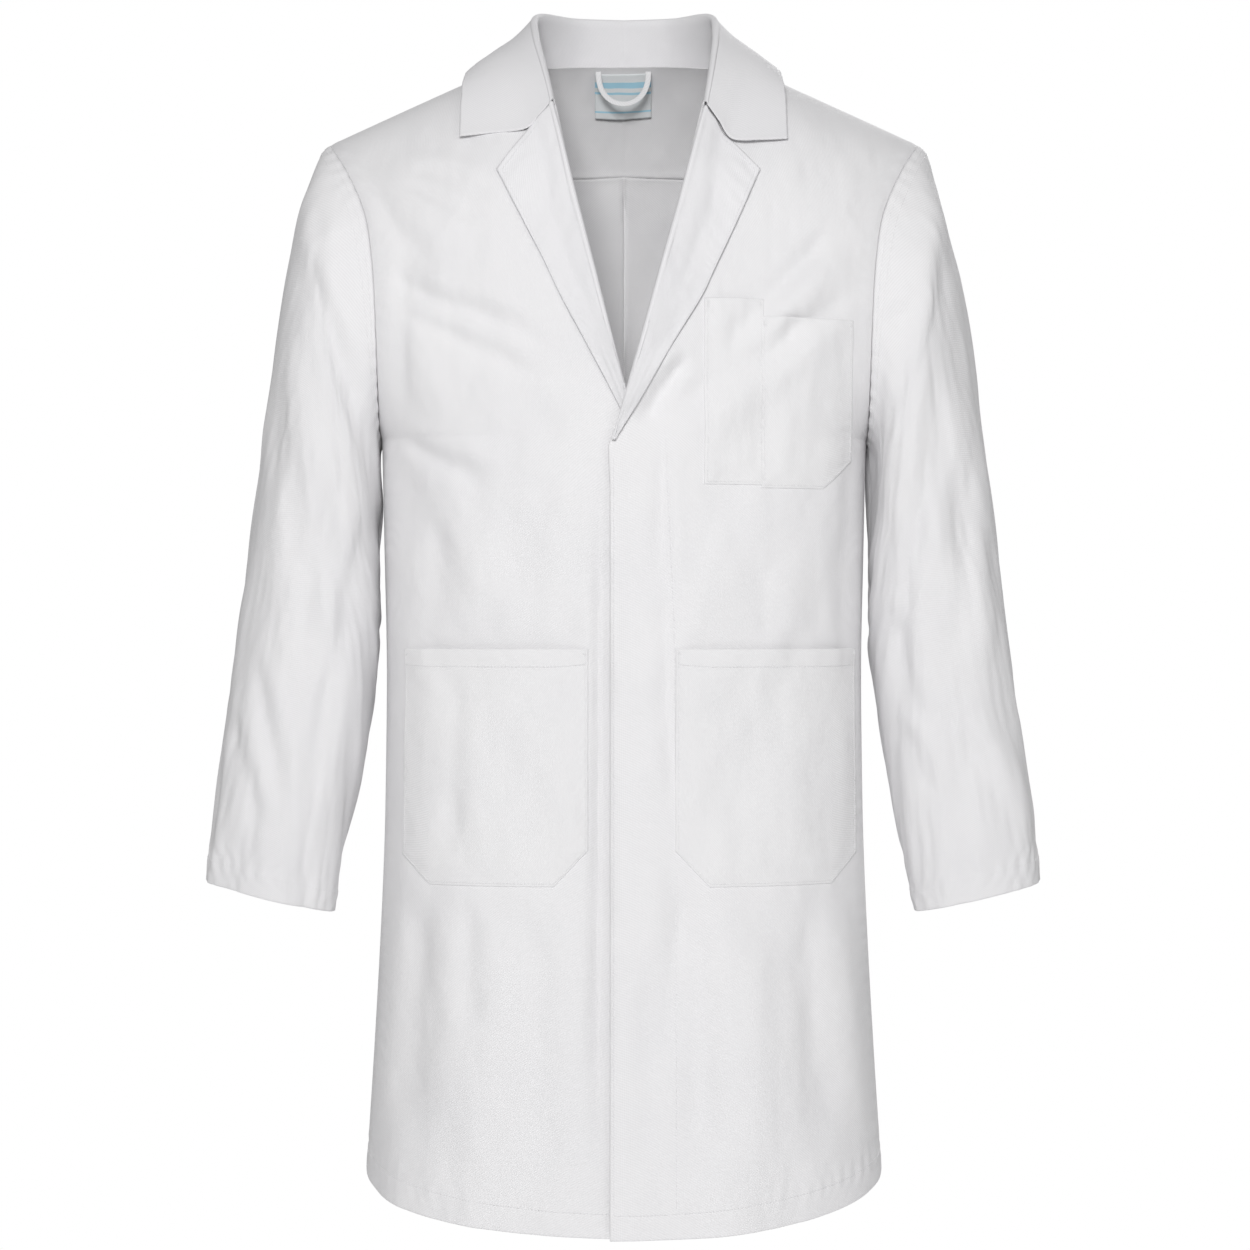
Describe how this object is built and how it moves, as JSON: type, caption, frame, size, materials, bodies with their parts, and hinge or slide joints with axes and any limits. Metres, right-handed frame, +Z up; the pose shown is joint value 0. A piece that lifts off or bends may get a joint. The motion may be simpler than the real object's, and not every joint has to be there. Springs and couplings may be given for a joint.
{
  "type": "lab coat",
  "caption": "White lab coat with notched collar, turned-back lapels, concealed press-stud front, chest and hip patch pockets and long sleeves that swing at the shoulder.",
  "frame": {"origin": "middle of the neck opening at the height of the shoulder neck points, where a hanger or the wearer carries the coat", "axes": "+Z up from hem to collar, -Y out of the coat's front, +X to the wearer's left"},
  "size_m": [0.7362, 0.3074, 1.0604],
  "materials": {
    "white_polycotton": "matte",
    "label_weave": "matte",
    "loop_tape": "matte",
    "press_stud_metal": "satin"
  },
  "bodies": {
    "torso": {"back_panel_left": "white_polycotton", "back_panel_right": "white_polycotton", "back_yoke": "white_polycotton", "front_shoulder_left": "white_polycotton", "front_shoulder_right": "white_polycotton", "collar_fall": "white_polycotton", "collar_stand": "white_polycotton", "neck_label": "label_weave"},
    "front_left": {"front_panel_left": "white_polycotton", "lapel_left": "white_polycotton", "lower_pocket_left": "white_polycotton", "lower_pocket_hem_left": "white_polycotton", "chest_pocket": "white_polycotton", "pen_pocket": "white_polycotton", "fly_placket": "white_polycotton", "stud_socket_1": "press_stud_metal", "stud_socket_2": "press_stud_metal", "stud_socket_3": "press_stud_metal", "stud_socket_4": "press_stud_metal", "stud_socket_5": "press_stud_metal"},
    "front_right": {"front_panel_right": "white_polycotton", "lapel_right": "white_polycotton", "lower_pocket_right": "white_polycotton", "lower_pocket_hem_right": "white_polycotton", "stud_post_1": "press_stud_metal", "stud_post_2": "press_stud_metal", "stud_post_3": "press_stud_metal", "stud_post_4": "press_stud_metal", "stud_post_5": "press_stud_metal"},
    "left_sleeve": {"sleeve_left": "white_polycotton", "cuff_hem_left": "white_polycotton"},
    "right_sleeve": {"sleeve_right": "white_polycotton", "cuff_hem_right": "white_polycotton"},
    "loop": {"hanger_loop": "loop_tape"}
  },
  "joints": [
    {"name": "front_left_open", "type": "hinge", "parent": "torso", "child": "front_left", "pos_m": [0.14, -0.096, -0.05], "axis": [-0.0578, -0.0032, 0.9983], "range_deg": [0, 50]},
    {"name": "front_right_open", "type": "hinge", "parent": "torso", "child": "front_right", "pos_m": [-0.14, -0.096, -0.05], "axis": [0.0578, -0.0032, 0.9983], "range_deg": [-30, 0]},
    {"name": "sleeve_left_swing", "type": "hinge", "parent": "torso", "child": "left_sleeve", "pos_m": [0.24, 0, -0.19], "axis": [-1, 0, 0], "range_deg": [-20, 60]},
    {"name": "sleeve_right_swing", "type": "hinge", "parent": "torso", "child": "right_sleeve", "pos_m": [-0.24, 0, -0.19], "axis": [-1, 0, 0], "range_deg": [-20, 60]},
    {"name": "hanger_loop_flip", "type": "hinge", "parent": "torso", "child": "loop", "pos_m": [0, 0.0525, 0.015], "axis": [-1, 0, 0], "range_deg": [0, 150]}
  ],
  "couplings": [
    {"joint": "front_right_open", "follows": "front_left_open", "ratio": -0.6}
  ]
}
